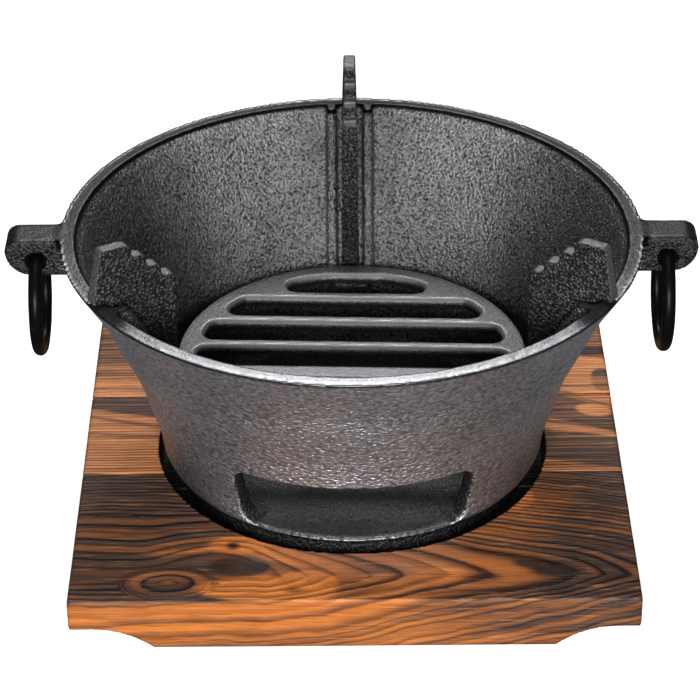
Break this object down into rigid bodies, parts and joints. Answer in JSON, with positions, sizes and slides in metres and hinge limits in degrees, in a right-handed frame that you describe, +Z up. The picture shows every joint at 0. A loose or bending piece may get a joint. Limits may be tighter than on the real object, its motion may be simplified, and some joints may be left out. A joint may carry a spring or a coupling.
{
  "type": "hibachi grill",
  "caption": "Tabletop hibachi grill: flared cast-iron fire bowl with ring handles, lift-out grate and stepped pot supports, standing in a recess in a scorched wooden base.",
  "frame": {"origin": "middle of the base's underside, on the surface that the grill stands on", "axes": "+Z up, the air opening faces -Y, the ring handles lie on the X axis"},
  "size_m": [0.284, 0.2398, 0.1506],
  "materials": {
    "scorched_pine": "scorched and brushed, satin",
    "cast_iron": "sand-cast, fine orange-peel texture",
    "grate_iron": "smoother casting, satin",
    "blackened_steel": "glossy black"
  },
  "bodies": {
    "base": {"front_plank": "scorched_pine", "middle_plank": "scorched_pine", "rear_plank": "scorched_pine"},
    "bowl": {"fire_bowl": "cast_iron"},
    "grate": {"charcoal_grate": "grate_iron"},
    "support_rear": {"pot_support_rear": "cast_iron"},
    "support_left": {"pot_support_left": "cast_iron"},
    "support_right": {"pot_support_right": "cast_iron"},
    "ring_left": {"ring_handle_left": "blackened_steel"},
    "ring_right": {"ring_handle_right": "blackened_steel"}
  },
  "joints": [
    {"name": "bowl_lift", "type": "slide", "parent": "base", "child": "bowl", "axis": [0, 0, 1], "range_m": [0, 0.03]},
    {"name": "grate_lift", "type": "slide", "parent": "bowl", "child": "grate", "axis": [0, 0, 1], "range_m": [0, 0.1]},
    {"name": "support_rear_lift", "type": "slide", "parent": "bowl", "child": "support_rear", "axis": [0, 0, 1], "range_m": [0, 0.08]},
    {"name": "support_left_lift", "type": "slide", "parent": "bowl", "child": "support_left", "axis": [0, 0, 1], "range_m": [0, 0.08]},
    {"name": "support_right_lift", "type": "slide", "parent": "bowl", "child": "support_right", "axis": [0, 0, 1], "range_m": [0, 0.08]},
    {"name": "ring_left_swing", "type": "hinge", "parent": "bowl", "child": "ring_left", "pos_m": [-0.1293, 0, 0.1167], "axis": [0, 1, 0], "range_deg": [-28, 200]},
    {"name": "ring_right_swing", "type": "hinge", "parent": "bowl", "child": "ring_right", "pos_m": [0.1293, 0, 0.1167], "axis": [0, -1, 0], "range_deg": [-28, 200]}
  ]
}
